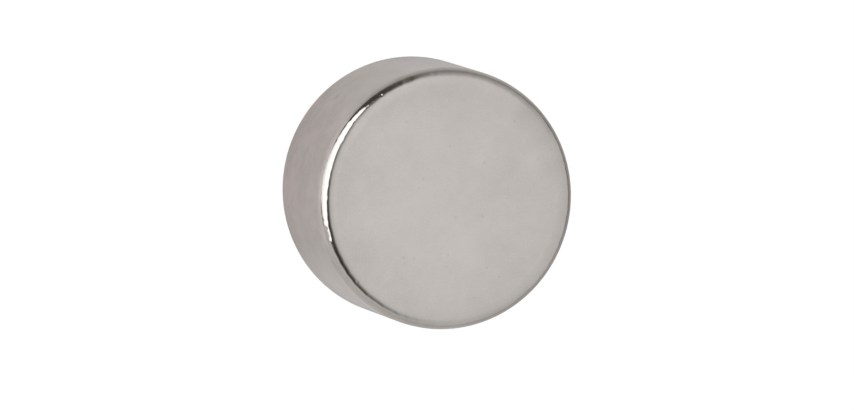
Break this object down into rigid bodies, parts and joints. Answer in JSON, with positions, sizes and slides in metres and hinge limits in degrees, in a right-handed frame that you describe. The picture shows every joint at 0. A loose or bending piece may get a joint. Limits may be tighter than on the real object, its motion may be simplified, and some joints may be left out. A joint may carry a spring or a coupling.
{
  "type": "disc magnet",
  "caption": "Plain round disc magnet with flat pole faces and softly rolled rims, nickel plated. It clings to steel, or is glued or pressed into a round pocket.",
  "frame": {"origin": "centre of the lower pole face, which the disc lies on", "axes": "+Z along the disc's axis, from the lower pole face to the upper one; X and Y are any two directions across the disc, because it is round"},
  "size_m": [0.01, 0.01, 0.006],
  "materials": {
    "nickel_plating": "bright barrel-finished nickel plating, warm grey, with a faint cloudy mottle and small pits"
  },
  "bodies": {
    "root": {"magnet_disc": "nickel_plating"}
  },
  "joints": []
}
